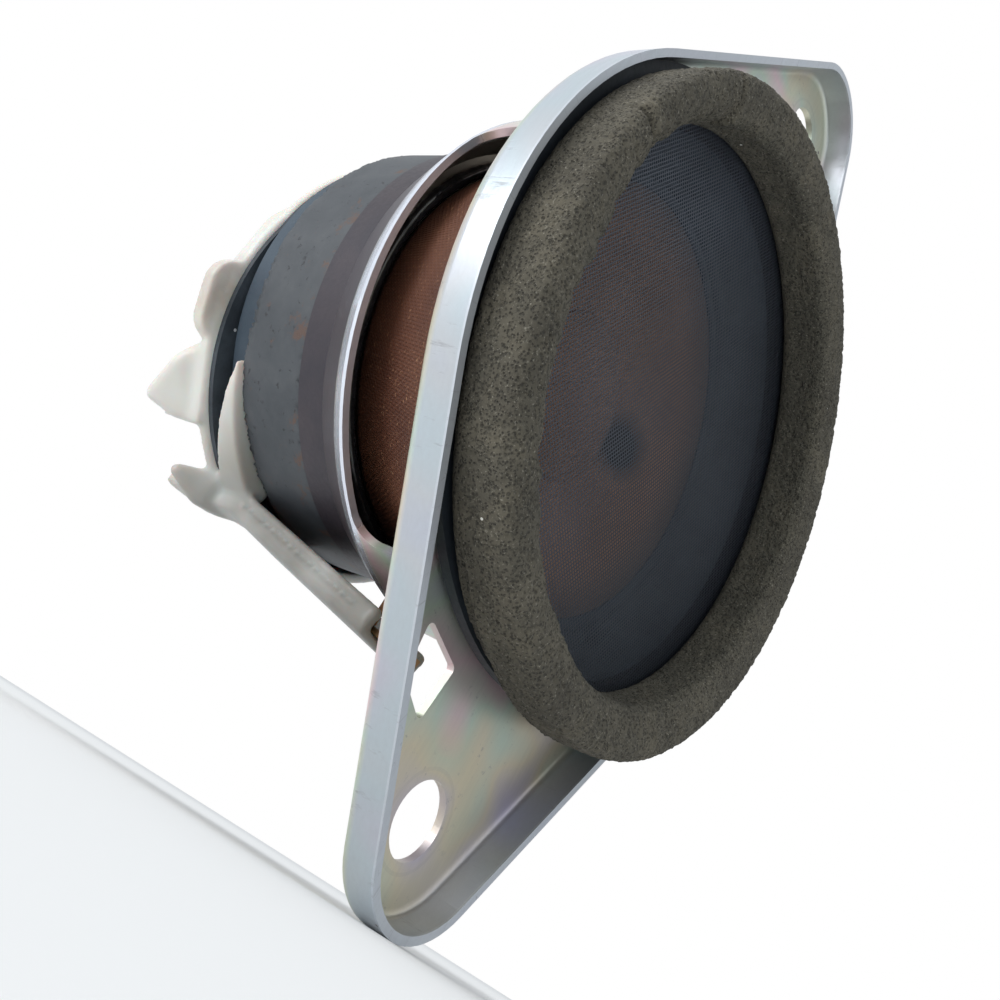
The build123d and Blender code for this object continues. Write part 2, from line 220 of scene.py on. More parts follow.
def shared_group(name, inputs, outputs):
    """An empty node group; returns the group, its tree wrapper, its inputs and its output node."""
    group = bpy.data.node_groups.new(name, "ShaderNodeTree")
    for label, kind, value in inputs:
        socket = group.interface.new_socket(name=label, in_out="INPUT", socket_type="NodeSocket" + kind)
        if value is not None:
            socket.default_value = value
    for label, kind in outputs:
        group.interface.new_socket(name=label, in_out="OUTPUT", socket_type="NodeSocket" + kind)
    tree = Tree(group)
    return group, tree, tree.add("NodeGroupInput").outputs, tree.add("NodeGroupOutput")


def new_finish(name, **constants):
    """A material with one Principled shader; constants are set on the shader's own sockets."""
    material = bpy.data.materials.new(name)
    material.use_nodes = True
    tree = Tree(material.node_tree)
    shader = material.node_tree.nodes["Principled BSDF"]
    for socket, value in constants.items():
        shader.inputs[socket.replace("_", " ")].default_value = value
    place = tree.add("ShaderNodeTexCoord").outputs["Object"]
    return material, tree, shader, place


def add_bump(tree, shader, height, distance, strength=1.0):
    bump = tree.add("ShaderNodeBump", {"Height": height, "Distance": distance, "Strength": strength})
    tree.feed(shader, "Normal", bump.outputs["Normal"])


def use_group(tree, group, **links):
    node = tree.add("ShaderNodeGroup")
    node.node_tree = group
    for socket, source in links.items():
        tree.feed(node, socket.replace("_", " "), source)
    return node.outputs


floor_finish, floor_tree, floor_shader, floor_place = new_finish("floor", Roughness=0.9)
tone = floor_tree.noise(floor_place, 3.0)
pale = floor_tree.blend(tone, (0.88, 0.88, 0.88, 1), (0.92, 0.92, 0.92, 1))
floor_tree.feed(floor_shader, "Base Color", pale)
floor_data.materials.append(floor_finish)

# %% [markdown]
# ## Shared effects
# Four effects repeat on this object: dust specks, a plain weave, a position measured round the speaker's
# axis, and fine scratches.  Each is one group.  The weave crosses two sets of threads: where the sum of the
# two thread numbers is even the warp lies on top, and elsewhere the weft does.

# %% Shared effect groups


def make_speck_group():
    """Small specks, scattered and of uneven size."""
    group, tree, given, out = shared_group(
        "specks", [("Vector", "Vector", None), ("Scale", "Float", 900.0), ("Amount", "Float", 0.12)],
        [("Mask", "Float")])
    cells = tree.add("ShaderNodeTexVoronoi", {"Vector": given["Vector"], "Scale": given["Scale"]})
    chance = tree.add("ShaderNodeSeparateColor", {"Color": cells.outputs["Color"]}).outputs["Red"]
    picked = tree.math("LESS_THAN", chance, given["Amount"])
    size = tree.math("MULTIPLY", chance, 1.6)
    radius = tree.math("ADD", size, 0.05)
    near = tree.math("LESS_THAN", cells.outputs["Distance"], radius)
    tree.feed(out, "Mask", tree.math("MULTIPLY", picked, near))
    return group


def make_weave_group():
    """A plain weave from a flat position measured in threads."""
    group, tree, given, out = shared_group(
        "plain weave", [("Vector", "Vector", None), ("Thread Width", "Float", 0.7)],
        [("Height", "Float"), ("Cover", "Float"), ("Warp", "Float")])
    split = tree.add("ShaderNodeSeparateXYZ", {"Vector": given["Vector"]}).outputs
    across_threads, along_threads = split["X"], split["Y"]
    parity = tree.math("ADD", tree.math("FLOOR", across_threads), tree.math("FLOOR", along_threads))
    parity = tree.math("ABSOLUTE", tree.math("MODULO", parity, 2.0))
    heights = []
    edges = []
    for part in (across_threads, along_threads):
        from_middle = tree.math("ABSOLUTE", tree.math("SUBTRACT", tree.math("FRACT", part), 0.5))
        from_middle = tree.math("MULTIPLY", from_middle, 2.0)
        inside = tree.math("SUBTRACT", 1.0, tree.math("DIVIDE", from_middle, given["Thread Width"]))
        edges.append(tree.math("MAXIMUM", inside, 0.0))
        heights.append(tree.math("SQRT", edges[-1]))
    over = tree.add("ShaderNodeMix", {0: parity, 2: heights[0], 3: heights[1]}).outputs[0]
    under = tree.add("ShaderNodeMix", {0: parity, 2: heights[1], 3: heights[0]}).outputs[0]
    height = tree.math("MAXIMUM", over, tree.math("MULTIPLY", under, 0.55))
    cover = tree.math("GREATER_THAN", tree.math("MAXIMUM", edges[0], edges[1]), 0.0)
    tree.feed(out, "Height", height)
    tree.feed(out, "Cover", cover)
    tree.feed(out, "Warp", parity)
    return group


def make_turned_group():
    """Distance from the speaker's axis, and the angle round it, from a position in metres."""
    group, tree, given, out = shared_group(
        "round the axis", [("Vector", "Vector", None)],
        [("Radius", "Float"), ("Angle", "Float"), ("Depth", "Float"), ("Unrolled", "Vector")])
    split = tree.add("ShaderNodeSeparateXYZ", {"Vector": given["Vector"]}).outputs
    squares = tree.math("ADD", tree.math("POWER", split["X"], 2.0), tree.math("POWER", split["Z"], 2.0))
    radius = tree.math("SQRT", squares)
    angle = tree.math("ARCTAN2", split["X"], split["Z"])
    arc = tree.math("MULTIPLY", angle, 0.024)
    unrolled = tree.add("ShaderNodeCombineXYZ", {"X": arc, "Y": split["Y"], "Z": radius}).outputs[0]
    tree.feed(out, "Radius", radius)
    tree.feed(out, "Angle", angle)
    tree.feed(out, "Depth", split["Y"])
    tree.feed(out, "Unrolled", unrolled)
    return group


def make_scratch_group():
    """Thin, broken, nearly parallel scratches in one direction."""
    group, tree, given, out = shared_group(
        "scratches",
        [("Vector", "Vector", None), ("Stretch", "Vector", (1.0, 1.0, 1.0)), ("Scale", "Float", 900.0)],
        [("Mask", "Float")])
    links = {0: given["Vector"], 1: given["Stretch"]}
    stretched = tree.add("ShaderNodeVectorMath", links, operation="MULTIPLY").outputs[0]
    lines = tree.noise(stretched, given["Scale"], 4.0, 0.7)
    patches = tree.noise(given["Vector"], 140.0, 2.0)
    fine = tree.level(lines, 0.60, 0.72)
    tree.feed(out, "Mask", tree.math("MULTIPLY", fine, tree.level(patches, 0.42, 0.62)))
    return group


SPECKS = make_speck_group()
WEAVE = make_weave_group()
ROUND_AXIS = make_turned_group()
SCRATCHES = make_scratch_group()
print("shared groups:", [g.name for g in bpy.data.node_groups])

# %% [markdown]
# ## Plated steel
# The basket is zinc plated and passivated.  Thin passivation shows faint yellow, pink and green clouds over
# bright metal, and a yellow ring round each mounting hole.  The lip is tinted bluer as a painted reflection,
# and its sheared edge is painted brighter as a painted highlight.  Behind the windows the sheet ends in a
# smoother rim that carries a painted highlight, and the cone behind that rim carries a painted reflection:
# dark purple on its outer face and a dim warm grey on its inner face.

# %% Plated steel finish
HOLE_Z = 41.0 * MM
WASHER_MARK_R = (3.8 * MM, 4.1 * MM)
YELLOW_RING_R = 5.6 * MM
SHEARED_EDGE_Y = -3.6 * MM
LIP_Y = (-1.3 * MM, -0.6 * MM)
RIM_HIGHLIGHT_Y = (11.8 * MM, 12.1 * MM)
REAR_CONE_Y = (13.6 * MM, 14.1 * MM)
REAR_CONE_SLOPE = 0.525
REAR_CONE_MIDDLE = 32.84 * MM      # radius at y = 0 of the line that lies inside the cone's sheet


def hypotenuse(tree, first, second):
    """The length of the hypotenuse over two values."""
    squares = tree.math("ADD", tree.math("POWER", first, 2.0), tree.math("POWER", second, 2.0))
    return tree.math("SQRT", squares)


def plated_steel():
    material, tree, shader, place = new_finish("plated steel", Metallic=0.72)
    clouds = tree.noise(place, 60.0, 2.0, 0.5)
    tint = tree.ramp(clouds, [
        (0.32, (0.60, 0.54, 0.74)), (0.42, (0.82, 0.72, 0.52)), (0.49, (0.64, 0.76, 0.62)),
        (0.56, (0.86, 0.64, 0.66)), (0.64, (0.64, 0.76, 0.60)), (0.72, (0.66, 0.60, 0.78))])
    links = {0: place, 1: (1.0, 1.0, 0.06)}
    rolled = tree.add("ShaderNodeVectorMath", links, operation="MULTIPLY").outputs[0]
    grain = tree.noise(rolled, 2600.0, 3.0, 0.7)
    marks = use_group(tree, SCRATCHES, Vector=place, Stretch=(1.0, 0.18, 1.0), Scale=1500.0)["Mask"]
    turned = use_group(tree, ROUND_AXIS, Vector=place)
    split = tree.add("ShaderNodeSeparateXYZ", {"Vector": place}).outputs
    along = tree.add("ShaderNodeCombineXYZ", {"X": turned["Angle"]}).outputs[0]
    shear = tree.level(tree.noise(along, 60.0, 5.0, 0.85), 0.56, 0.66)
    cut_edge = tree.math("LESS_THAN", split["Y"], SHEARED_EDGE_Y)
    shear = tree.math("MULTIPLY", shear, cut_edge)
    above_hole = tree.math("SUBTRACT", tree.math("ABSOLUTE", split["Z"]), HOLE_Z)
    from_hole = hypotenuse(tree, above_hole, split["X"])
    washer = tree.math("MULTIPLY", tree.math("GREATER_THAN", from_hole, WASHER_MARK_R[0]),
                       tree.math("LESS_THAN", from_hole, WASHER_MARK_R[1]))
    specks = use_group(tree, SPECKS, Vector=place, Scale=420.0, Amount=0.05)["Mask"]
    off_ring = tree.math("ABSOLUTE", tree.math("SUBTRACT", from_hole, YELLOW_RING_R))
    yellow = tree.math("SUBTRACT", 1.0, tree.level(off_ring, 0.6 * MM, 2.6 * MM))
    tint = tree.blend(tree.math("MULTIPLY", yellow, 0.55), tint, (0.80, 0.70, 0.46, 1.0))
    # Painted reflection: the lip, in front of its band, is tinted bluer as if it mirrored bluish light.
    lip_painted_reflection = tree.math("SUBTRACT", 1.0, tree.level(split["Y"], *LIP_Y))
    tint = tree.blend(tree.math("MULTIPLY", lip_painted_reflection, 0.8), tint, (0.50, 0.56, 0.65, 1.0))
    # Painted highlight: the sheared edge at the front is painted brighter; its mask also holds the real shear
    # marks.
    colour = tree.blend(tree.math("MULTIPLY", cut_edge, 0.7), tint, (0.66, 0.70, 0.76, 1.0))
    # Painted reflection: behind the rim the rear cone is painted dark, its outer face dark purple and its
    # inner face a dim warm grey.
    cone_line = tree.math("ADD", turned["Radius"], tree.math("MULTIPLY", split["Y"], REAR_CONE_SLOPE))
    outside = tree.math("GREATER_THAN", cone_line, REAR_CONE_MIDDLE)
    behind = tree.level(split["Y"], *REAR_CONE_Y)
    # Painted highlight: the rim band at the rear of the windows is painted near white, and it is also made
    # smoother.
    rim = tree.math("SUBTRACT", tree.level(split["Y"], *RIM_HIGHLIGHT_Y), behind)
    rear_cone_painted_reflection = tree.blend(outside, (0.34, 0.31, 0.27, 1.0), (0.085, 0.070, 0.085, 1.0))
    colour = tree.blend(behind, colour, rear_cone_painted_reflection)
    colour = tree.blend(rim, colour, (0.86, 0.90, 1.0, 1.0))
    colour = tree.blend(tree.math("MULTIPLY", grain, 0.25), colour, (0.36, 0.35, 0.36, 1.0))
    dark = tree.math("MAXIMUM", tree.math("MULTIPLY", marks, 0.55), tree.math("MULTIPLY", shear, 0.45))
    dark = tree.math("MAXIMUM", dark, tree.math("MULTIPLY", washer, 0.10))
    colour = tree.blend(dark, colour, (0.28, 0.28, 0.30, 1.0))
    tree.feed(shader, "Base Color", tree.blend(specks, colour, (0.20, 0.18, 0.17, 1.0)))
    rough = tree.math("SUBTRACT", tree.math("ADD", tree.math("MULTIPLY", grain, 0.20), 0.26),
                      tree.math("MULTIPLY", rim, 0.20))
    tree.feed(shader, "Roughness", tree.math("ADD", rough, tree.math("MULTIPLY", dark, 0.35)))
    height = tree.math("SUBTRACT", tree.math("MULTIPLY", grain, 0.5), tree.math("MULTIPLY", dark, 0.9))
    add_bump(tree, shader, height, 0.00003, 0.6)
    return material


def finish_node(node, material):
    """Give a CAD node a new material in every slot."""
    mesh = NODES[node].data
    mesh.materials.clear()
    mesh.materials.append(material)


finish_node("basket", plated_steel())

# %% [markdown]
# ## Dark motor steel and ferrite
# The front plate and yoke are dark passivated steel, one with a purple cast and one blue-grey.  Ferrite is a
# fired ceramic: matt slate grey, faintly mottled, with pits, rust spots near the plate and a chipped rear
# edge.

# %% Motor finishes


def dark_steel(name, base, warm):
    material, tree, shader, place = new_finish(name, Metallic=0.35)
    patches = tree.noise(place, 160.0, 4.0, 0.6)
    fine = tree.noise(place, 2400.0, 3.0, 0.6)
    colour = tree.blend(tree.level(patches, 0.38, 0.66), (*base, 1.0), (*warm, 1.0))
    specks = use_group(tree, SPECKS, Vector=place, Scale=500.0, Amount=0.03)["Mask"]
    tree.feed(shader, "Base Color", tree.blend(specks, colour, (0.62, 0.62, 0.62, 1.0)))
    tree.feed(shader, "Roughness", tree.math("ADD", tree.math("MULTIPLY", fine, 0.3), 0.32))
    add_bump(tree, shader, tree.math("ADD", fine, patches), 0.00004, 0.5)
    return material


finish_node("top_plate", dark_steel("front plate steel", (0.040, 0.036, 0.046), (0.058, 0.048, 0.056)))
finish_node("yoke", dark_steel("yoke steel", (0.045, 0.065, 0.090), (0.060, 0.085, 0.110)))
finish_node("plate_rivets", dark_steel("stake steel", (0.30, 0.30, 0.31), (0.40, 0.39, 0.38)))


def ferrite_finish():
    material, tree, shader, place = new_finish("ferrite", Metallic=0.0)
    mottle = tree.noise(place, 220.0, 5.0, 0.65)
    colour = tree.ramp(mottle, [(0.35, (0.042, 0.049, 0.057)), (0.5, (0.055, 0.062, 0.071)),
                                (0.68, (0.073, 0.080, 0.088))])
    pits = tree.math("SUBTRACT", 1.0, tree.level(tree.noise(place, 1300.0, 4.0, 0.7), 0.31, 0.38))
    # Painted shade: the pits are painted near black.
    colour = tree.blend(tree.math("MULTIPLY", pits, 0.8), colour, (0.022, 0.022, 0.026, 1.0))
    depth = tree.add("ShaderNodeSeparateXYZ", {"Vector": place}).outputs["Y"]
    near_plate = tree.math("SUBTRACT", 1.0, tree.level(depth, 0.0212, 0.0245))
    rust = tree.math("ADD", tree.noise(place, 420.0, 4.0, 0.75), tree.math("MULTIPLY", near_plate, 0.10))
    rust = tree.level(rust, 0.63, 0.72)
    colour = tree.blend(tree.math("MULTIPLY", rust, 0.75), colour, (0.11, 0.055, 0.035, 1.0))
    specks = use_group(tree, SPECKS, Vector=place, Scale=850.0, Amount=0.05)["Mask"]
    tree.feed(shader, "Base Color", tree.blend(specks, colour, (0.50, 0.50, 0.50, 1.0)))
    tree.feed(shader, "Roughness", tree.math("ADD", tree.math("MULTIPLY", mottle, 0.25), 0.42))
    height = tree.math("SUBTRACT", tree.math("MULTIPLY", mottle, 0.6), pits)
    add_bump(tree, shader, height, 0.00008, 0.6)
    return material


FERRITE = ferrite_finish()

# %% [markdown]
# ## Turned pieces with UVs
# Rings and bands all start the same way: draw one edge loop in the plane x = radius, y = depth, then spin it
# round the speaker's axis.  A second helper unrolls a band: it writes a UV map in metres, so that woven
# threads can follow the surface.

# %% Spin helper


def turned_mesh(outline, steps):
    """Spin (radius, y) points, in metres, round the Y axis; a closed outline repeats its first point."""
    shape = bmesh.new()
    points = [shape.verts.new((radius, y, 0.0)) for radius, y in outline]
    lines = [shape.edges.new((a, b)) for a, b in zip(points, points[1:])]
    bmesh.ops.spin(shape, geom=points + lines, cent=(0, 0, 0), axis=(0, 1, 0), angle=2 * pi, steps=steps,
                   use_merge=True)
    bmesh.ops.remove_doubles(shape, verts=shape.verts, dist=1e-7)
    bmesh.ops.recalc_face_normals(shape, faces=shape.faces)
    return shape


def unroll(shape, mean_radius):
    """Write a UV map in metres: the arc along U, and the depth along V."""
    uv = shape.loops.layers.uv.new("surface")
    for face in shape.faces:
        middle = face.calc_center_median()
        middle_angle = atan2(middle.x, middle.z)
        for loop in face.loops:
            angle = atan2(loop.vert.co.x, loop.vert.co.z)
            angle += 2 * pi * round((middle_angle - angle) / (2 * pi))
            loop[uv].uv = (angle * mean_radius, loop.vert.co.y)


def place_piece(name, shape, material, body, *nodes, smooth=True, slot=None):
    """Turn a finished bmesh into a piece that stands for CAD nodes and rides on a body, if one is named."""
    mesh = bpy.data.meshes.new(name)
    shape.to_mesh(mesh)
    shape.free()
    piece = bpy.data.objects.new(name, mesh)
    bpy.context.scene.collection.objects.link(piece)
    mesh.materials.append(material)
    for face in mesh.polygons:
        face.use_smooth = smooth
    if body:
        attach(piece, body)
    if nodes:
        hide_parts(*nodes)
    print(name, "has", len(mesh.polygons), "faces")
    return piece


def rounded_outline(corners, radius, steps=3):
    """Round each corner of a closed outline of (radius, y) points with a short curve."""
    outline = []
    for i, corner in enumerate(corners):
        here = Vector(corner)
        before = Vector(corners[i - 1])
        after = Vector(corners[(i + 1) % len(corners)])
        start = here + (before - here).normalized() * radius
        end = here + (after - here).normalized() * radius
        for step in range(steps + 1):
            t = step / steps
            outline.append((start * (1 - t) ** 2 + here * 2 * t * (1 - t) + end * t ** 2)[:])
    outline.append(outline[0])
    return outline


def even_outline(outline, spacing):
    """Divide a long outline so that its points are about one spacing apart."""
    points = [outline[0]]
    for a, b in zip(outline, outline[1:]):
        count = max(1, ceil(hypot(b[0] - a[0], b[1] - a[1]) / spacing))
        for i in range(1, count + 1):
            t = i / count
            points.append((a[0] + (b[0] - a[0]) * t, a[1] + (b[1] - a[1]) * t))
    return points


# %% [markdown]
# ## The magnet, with a chipped edge
# Ferrite breaks like pottery, so its rear edge is a row of small conchoidal chips.  A spun ring has enough
# points near the edge to move them: noise picks where a chip is, and its depth falls away from the edge.

# %% Ferrite ring
low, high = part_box("ferrite_magnet")
MAGNET_R = high.x
MAGNET_HOLE = 11.0 * MM
corners = [(MAGNET_HOLE, low.y), (MAGNET_R, low.y), (MAGNET_R, high.y), (MAGNET_HOLE, high.y)]
magnet = turned_mesh(even_outline(rounded_outline(corners, 0.2 * MM), 0.4 * MM), 560)
CHIP_REACH = 0.75 * MM
FRONT_CHIP_REACH = 0.5 * MM
for vert in magnet.verts:
    radius = hypot(vert.co.x, vert.co.z)
    from_edge = hypot(MAGNET_R - radius, high.y - vert.co.y)
    front_edge = hypot(MAGNET_R - radius, vert.co.y - low.y)
    teeth = abs(noise.noise(vert.co * 1900)) + 0.7 * abs(noise.noise(vert.co * 4100))
    broken = max(0.0, noise.noise(vert.co * 260) + 0.25)
    rear = max(0.0, 1 - from_edge / CHIP_REACH) * teeth * (0.25 + broken)
    front = max(0.0, 1 - front_edge / FRONT_CHIP_REACH) * max(0.0, teeth - 0.35) * broken
    depth = rear + front
    vert.co.x -= vert.co.x / radius * depth * 0.75 * MM
    vert.co.z -= vert.co.z / radius * depth * 0.75 * MM
    vert.co.y += (front - rear) * 0.9 * MM
place_piece("ferrite_ring", magnet, FERRITE, "frame", "ferrite_magnet", slot="ferrite")

# %% [markdown]
# ## Woven cloth
# Three pieces are cloth: the screen over the mouth, the band behind the basket's windows, and the cone
# itself.  The screen is an open mesh, so its finish leaves holes with Alpha.  The band and the cone are close
# weaves that were dipped in resin, so their threads only show as shading.

# %% Cloth finishes
DARK_SPOT_AT = (10.6 * MM, 7.5 * MM, 2.1 * MM)


def mesh_screen():
    """Black open mesh with a painted sheen: threads cover, and the gaps between them let the cone show
    through.
    """
    material, tree, shader, place = new_finish("screen cloth", Metallic=0.0)
    swap = tree.add("ShaderNodeSeparateXYZ", {"Vector": place}).outputs
    flat = tree.add("ShaderNodeCombineXYZ", {"X": swap["X"], "Y": swap["Z"]}).outputs[0]
    turned = tree.add("ShaderNodeMapping", {"Vector": flat, "Rotation": (0, 0, radians(28)),
                                            "Scale": (2900.0, 2900.0, 1.0)}).outputs[0]
    weave = use_group(tree, WEAVE, Vector=turned, Thread_Width=0.38)
    # Painted sheen: the threads are painted lighter and bluer in cloudy patches, more towards the near (-x)
    # side.
    near_side = tree.level(swap["X"], 0.012, -0.020)
    painted_sheen = tree.math("MULTIPLY", tree.noise(place, 90.0, 2.0), tree.math("ADD", near_side, 0.25), clamp=True)
    colour = tree.blend(painted_sheen, (0.016, 0.020, 0.028, 1.0), (0.085, 0.097, 0.125, 1.0))
    dust = use_group(tree, SPECKS, Vector=place, Scale=260.0, Amount=0.045)["Mask"]
    tree.feed(shader, "Base Color", tree.blend(dust, colour, (0.80, 0.82, 0.84, 1.0)))
    tree.feed(shader, "Roughness", tree.math("ADD", tree.math("MULTIPLY", painted_sheen, 0.2), 0.40))
    cover = tree.math("MAXIMUM", weave["Cover"], dust)
    tree.feed(shader, "Alpha", cover)
    add_bump(tree, shader, weave["Height"], 0.00006, 0.8)
    return material


def brown_band():
    """Close resin-dipped weave on the piece's own UV map."""
    material, tree, shader, place = new_finish("window cloth", Metallic=0.0)
    surface = tree.add("ShaderNodeUVMap", uv_map="surface").outputs[0]
    turned = tree.add("ShaderNodeMapping", {"Vector": surface, "Rotation": (0, 0, radians(8)),
                                            "Scale": (3300.0, 3300.0, 1.0)}).outputs[0]
    weave = use_group(tree, WEAVE, Vector=turned, Thread_Width=0.98)
    blotch = tree.noise(place, 130.0, 4.0, 0.6)
    colour = tree.ramp(blotch, [(0.30, (0.085, 0.026, 0.012)), (0.5, (0.120, 0.039, 0.017)),
                                (0.72, (0.165, 0.060, 0.027))])
    # Painted shade: the dips between threads are painted darker.
    painted_thread_shade = tree.math("SUBTRACT", 1.0, weave["Height"])
    colour = tree.blend(tree.math("MULTIPLY", painted_thread_shade, 0.75), colour, (0.040, 0.014, 0.010, 1.0))
    threads = tree.noise(place, 3200.0, 2.0)
    fluff = tree.level(threads, 0.62, 0.75)
    tree.feed(shader, "Base Color", tree.blend(fluff, colour, (0.33, 0.17, 0.09, 1.0)))
    tree.feed(shader, "Roughness", tree.math("ADD", tree.math("MULTIPLY", blotch, 0.3), 0.42))
    add_bump(tree, shader, weave["Height"], 0.00009, 0.9)
    return material


def cone_cloth():
    """The cone's own weave with painted shade between its threads, darker towards its rim, with a dark spot
    to one side of the middle.
    """
    material, tree, shader, place = new_finish("cone cloth", Metallic=0.0, Sheen_Weight=0.15)
    swap = tree.add("ShaderNodeSeparateXYZ", {"Vector": place}).outputs
    flat = tree.add("ShaderNodeCombineXYZ", {"X": swap["X"], "Y": swap["Z"]}).outputs[0]
    turned = tree.add("ShaderNodeMapping", {"Vector": flat, "Scale": (2600.0, 2600.0, 1.0)}).outputs[0]
    weave = use_group(tree, WEAVE, Vector=turned, Thread_Width=0.95)
    blotch = tree.noise(place, 90.0, 4.0, 0.6)
    colour = tree.ramp(blotch, [(0.30, (0.30, 0.145, 0.080)), (0.5, (0.40, 0.205, 0.115)),
                                (0.72, (0.50, 0.275, 0.165))])
    # Painted shade: the dips between threads are painted darker.
    painted_thread_shade = tree.math("SUBTRACT", 1.0, weave["Height"])
    colour = tree.blend(tree.math("MULTIPLY", painted_thread_shade, 0.5), colour, (0.10, 0.05, 0.03, 1.0))
    # A near-black round spot with a ragged edge, off to one side of the middle.
    links = {0: place, 1: DARK_SPOT_AT}
    from_dark_spot = tree.add("ShaderNodeVectorMath", links, operation="DISTANCE").outputs["Value"]
    ragged = tree.math("ADD", from_dark_spot, tree.math("MULTIPLY", tree.noise(place, 300.0), 0.0012))
    dark_patch = tree.math("SUBTRACT", 1.0, tree.level(ragged, 0.0026, 0.0050))
    radius = use_group(tree, ROUND_AXIS, Vector=place)["Radius"]
    edge = tree.math("ADD", radius, tree.math("MULTIPLY", blotch, 0.003))
    rim = tree.math("MULTIPLY", tree.level(edge, 0.0188, 0.0232), 0.85)
    colour = tree.blend(rim, colour, (0.05, 0.055, 0.06, 1.0))
    tree.feed(shader, "Base Color", tree.blend(dark_patch, colour, (0.004, 0.005, 0.008, 1.0)))
    tree.feed(shader, "Roughness", tree.math("ADD", tree.math("MULTIPLY", blotch, 0.25), 0.55))
    add_bump(tree, shader, weave["Height"], 0.00006, 0.7)
    return material


CONE_CLOTH = cone_cloth()
finish_node("cone", CONE_CLOTH)
finish_node("dust_cap", CONE_CLOTH)

# %% [markdown]
# The band is a strip of cloth glued into a shallow cone, so it is spun from one sloping line and given the
# cloth's thickness.  It was cut as a strip as long as its middle circle.

# %% Window cloth band
low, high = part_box("window_cloth")
BAND_T = 0.28 * MM
front_r, rear_r = high.x - 0.2 * MM, 21.2 * MM
ROWS = 16
line = [(front_r + (rear_r - front_r) * i / ROWS, low.y + 0.1 * MM + (high.y - low.y - 0.2 * MM) * i / ROWS)
        for i in range(ROWS + 1)]
back = [(radius - BAND_T, y) for radius, y in line[::-1]]
band = turned_mesh(line + back + [line[0]], 360)
unroll(band, (front_r + rear_r) / 2)
BROWN_BAND = brown_band()
window_cloth = place_piece("window_cloth_band", band, BROWN_BAND, "frame", "window_cloth", slot="brown_cloth")

# %% Screen over the mouth
low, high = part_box("dust_screen")
screen = bmesh.new()
bmesh.ops.create_circle(screen, cap_ends=False, segments=160, radius=high.x - 0.1 * MM)
bmesh.ops.rotate(screen, verts=screen.verts, cent=(0, 0, 0), matrix=Matrix.Rotation(radians(90), 3, "X"))
bmesh.ops.translate(screen, verts=screen.verts, vec=(0, (low.y + high.y) / 2, 0))
middle = bmesh.ops.contextual_create(screen, geom=screen.edges)["faces"]
for share in (0.14, 0.175, 0.21, 0.245):
    bmesh.ops.inset_region(screen, faces=middle, thickness=high.x * share, use_even_offset=True)
bmesh.ops.triangulate(screen, faces=screen.faces)
SCREEN_CLOTH = mesh_screen()
dust_screen = place_piece("mesh_screen", screen, SCREEN_CLOTH, "frame", "dust_screen", slot="screen_cloth")

# %% [markdown]
# ## Surround, gasket, spider and the hidden pieces
# The surround is a thin dark rubbery ring pressed into ribs.  The gasket is matt black.  The spider, coil and
# leads hide behind them, but still get a real finish.

# %% Rubber and cloth finishes for kept nodes


def soft_black(name, base, light, roughness, scale, bump):
    material, tree, shader, place = new_finish(name, Metallic=0.0)
    clouds = tree.noise(place, scale, 4.0, 0.6)
    fine = tree.noise(place, scale * 14, 3.0, 0.6)
    colour = tree.blend(tree.level(clouds, 0.35, 0.68), (*base, 1.0), (*light, 1.0))
    specks = use_group(tree, SPECKS, Vector=place, Scale=330.0, Amount=0.035)["Mask"]
    tree.feed(shader, "Base Color", tree.blend(specks, colour, (0.55, 0.56, 0.58, 1.0)))
    tree.feed(shader, "Roughness", tree.math("ADD", tree.math("MULTIPLY", fine, 0.25), roughness))
    add_bump(tree, shader, tree.math("ADD", fine, clouds), bump, 0.6)
    return material


finish_node("gasket_ring",
            soft_black("black gasket", (0.010, 0.014, 0.019), (0.022, 0.029, 0.038), 0.42, 150.0, 5e-5))
finish_node("housing_seal",
            soft_black("washer fibre", (0.022, 0.028, 0.036), (0.050, 0.062, 0.075), 0.45, 260.0, 6e-5))


def bright_metal(name, base, dark, roughness):
    material, tree, shader, place = new_finish(name, Metallic=1.0)
    dark_patch = tree.noise(place, 420.0, 4.0, 0.6)
    fine = tree.noise(place, 5200.0, 2.0)
    tree.feed(shader, "Base Color", tree.blend(tree.level(dark_patch, 0.42, 0.7), (*base, 1.0), (*dark, 1.0)))
    tree.feed(shader, "Roughness", tree.math("ADD", tree.math("MULTIPLY", fine, 0.2), roughness))
    add_bump(tree, shader, fine, 0.00002, 0.5)
    return material


finish_node("voice_coil_former", bright_metal("former foil", (0.80, 0.80, 0.81), (0.66, 0.65, 0.64), 0.3))
finish_node("voice_coil", bright_metal("coil wire", (0.60, 0.26, 0.12), (0.42, 0.17, 0.08), 0.28))
finish_node("lead_eyelets", bright_metal("solder", (0.72, 0.72, 0.73), (0.55, 0.54, 0.53), 0.3))
for side in ("positive", "negative"):
    finish_node("terminal_" + side,
                bright_metal("terminal " + side, (0.36, 0.22, 0.12), (0.16, 0.09, 0.06), 0.45))
finish_node("capacitor_leads", bright_metal("tinned wire", (0.72, 0.72, 0.73), (0.60, 0.59, 0.58), 0.3))

# %% [markdown]
# The surround, the spider and the leads join the still basket to the moving cone.  Each is a merged copy of
# its CAD node, with its placement baked into its points.

# %% Pieces that cross the moving joint


def flexible_copy(name, node, material, slot):
    """A merged copy of a CAD node, with its placement baked into its points."""
    shape = bmesh.new()
    shape.from_mesh(NODES[node].data)
    bmesh.ops.remove_doubles(shape, verts=shape.verts, dist=2e-6)
    piece = place_piece(name, shape, material, None, node, slot=slot)
    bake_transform(piece)


flexible_copy("ribbed_surround", "surround",
              soft_black("surround", (0.040, 0.055, 0.075), (0.085, 0.110, 0.135), 0.50, 110.0, 5e-5),
              "surround_rubber")
flexible_copy("pressed_spider", "spider",
              soft_black("spider cloth", (0.30, 0.19, 0.08), (0.42, 0.28, 0.13), 0.65, 200.0, 5e-5),
              "spider_cloth")
flexible_copy("braided_leads", "tinsel_leads",
              bright_metal("braid", (0.66, 0.36, 0.20), (0.40, 0.22, 0.13), 0.4),
              "braid")
